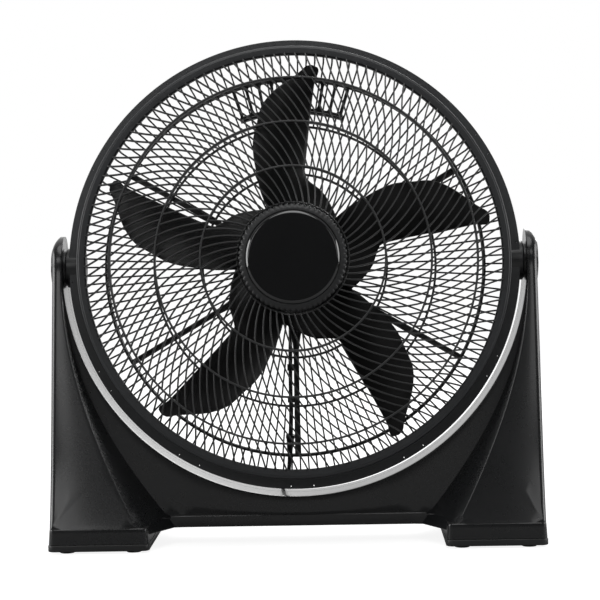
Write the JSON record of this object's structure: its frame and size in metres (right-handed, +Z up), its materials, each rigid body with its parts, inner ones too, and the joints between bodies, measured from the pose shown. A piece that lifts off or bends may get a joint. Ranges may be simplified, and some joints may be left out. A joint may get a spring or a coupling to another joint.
{
  "type": "drum floor fan",
  "caption": "Round guarded floor fan whose drum head tilts between the towers of a U-shaped stand; swept blades, spiral front grille and rear speed knob.",
  "frame": {"origin": "on the floor, at the centre of the rectangle that the two feet cover", "axes": "+Z up, -Y the front that the air leaves by, +X across the stand"},
  "size_m": [0.6052, 0.331, 0.6246],
  "materials": {
    "tower_plastic": "smooth black ABS moulding, satin to gloss",
    "foot_plastic": "black moulded plate, satin",
    "pad_rubber": "soft black rubber",
    "steel": "zinc-plated steel",
    "bezel_plastic": "black satin plastic with a fine grain",
    "grille_plastic": "black satin plastic",
    "cap_gloss": "glossy black plastic",
    "blade_plastic": "black plastic, low sheen",
    "motor_steel": "pressed and laminated steel",
    "cover_plastic": "black moulded plastic",
    "copper": "enamelled copper wire",
    "cord_rubber": "black flexible PVC"
  },
  "bodies": {
    "stand": {"stand_front_shell": "tower_plastic", "stand_rear_shell": "tower_plastic", "stand_screws": "steel", "left_foot": "tower_plastic", "right_foot": "tower_plastic", "left_foot_plate": "foot_plastic", "right_foot_plate": "foot_plastic", "rubber_pads": "pad_rubber", "left_pivot_cap": "tower_plastic", "right_pivot_cap": "tower_plastic", "left_pivot_bolt": "steel", "right_pivot_bolt": "steel", "left_friction_washer": "steel", "right_friction_washer": "steel", "power_cord": "cord_rubber", "cord_coil": "cord_rubber", "power_plug": "cord_rubber"},
    "rotor": {"fan_blade": "blade_plastic", "blade_nut": "blade_plastic", "motor_shaft": "steel", "rotor_core": "motor_steel"},
    "knob": {"speed_knob": "cover_plastic", "switch_stem": "steel"},
    "head": {"cover_screws": "steel", "front_bearing": "steel", "rear_bearing": "steel", "front_bezel": "bezel_plastic", "drum_housing": "bezel_plastic", "grille_clips": "bezel_plastic", "left_pivot_boss": "bezel_plastic", "right_pivot_boss": "bezel_plastic", "front_grille": "grille_plastic", "rear_grille": "grille_plastic", "rear_spider": "grille_plastic", "carry_handle": "grille_plastic", "hub_ring": "grille_plastic", "hub_cap": "cap_gloss", "motor_front_cover": "motor_steel", "motor_rear_bracket": "motor_steel", "stator_core": "motor_steel", "motor_rear_cover": "cover_plastic", "speed_switch": "cover_plastic", "capacitor": "cover_plastic", "lead_clips": "cover_plastic", "stator_windings": "copper", "motor_lead": "cord_rubber", "strain_relief": "cord_rubber", "cord_stub": "cord_rubber"}
  },
  "joints": [
    {"name": "head_tilt", "type": "hinge", "parent": "stand", "child": "head", "pos_m": [0, 0, 0.344], "axis": [-1, 0, 0], "range_deg": [-27, 33]},
    {"name": "rotor_spin", "type": "hinge", "parent": "head", "child": "rotor", "pos_m": [0, 0, 0.344], "axis": [0, -0.9925, 0.1219], "continuous": true},
    {"name": "knob_turn", "type": "hinge", "parent": "head", "child": "knob", "pos_m": [0, 0, 0.344], "axis": [0, -0.9925, 0.1219], "range_deg": [0, 135]}
  ]
}
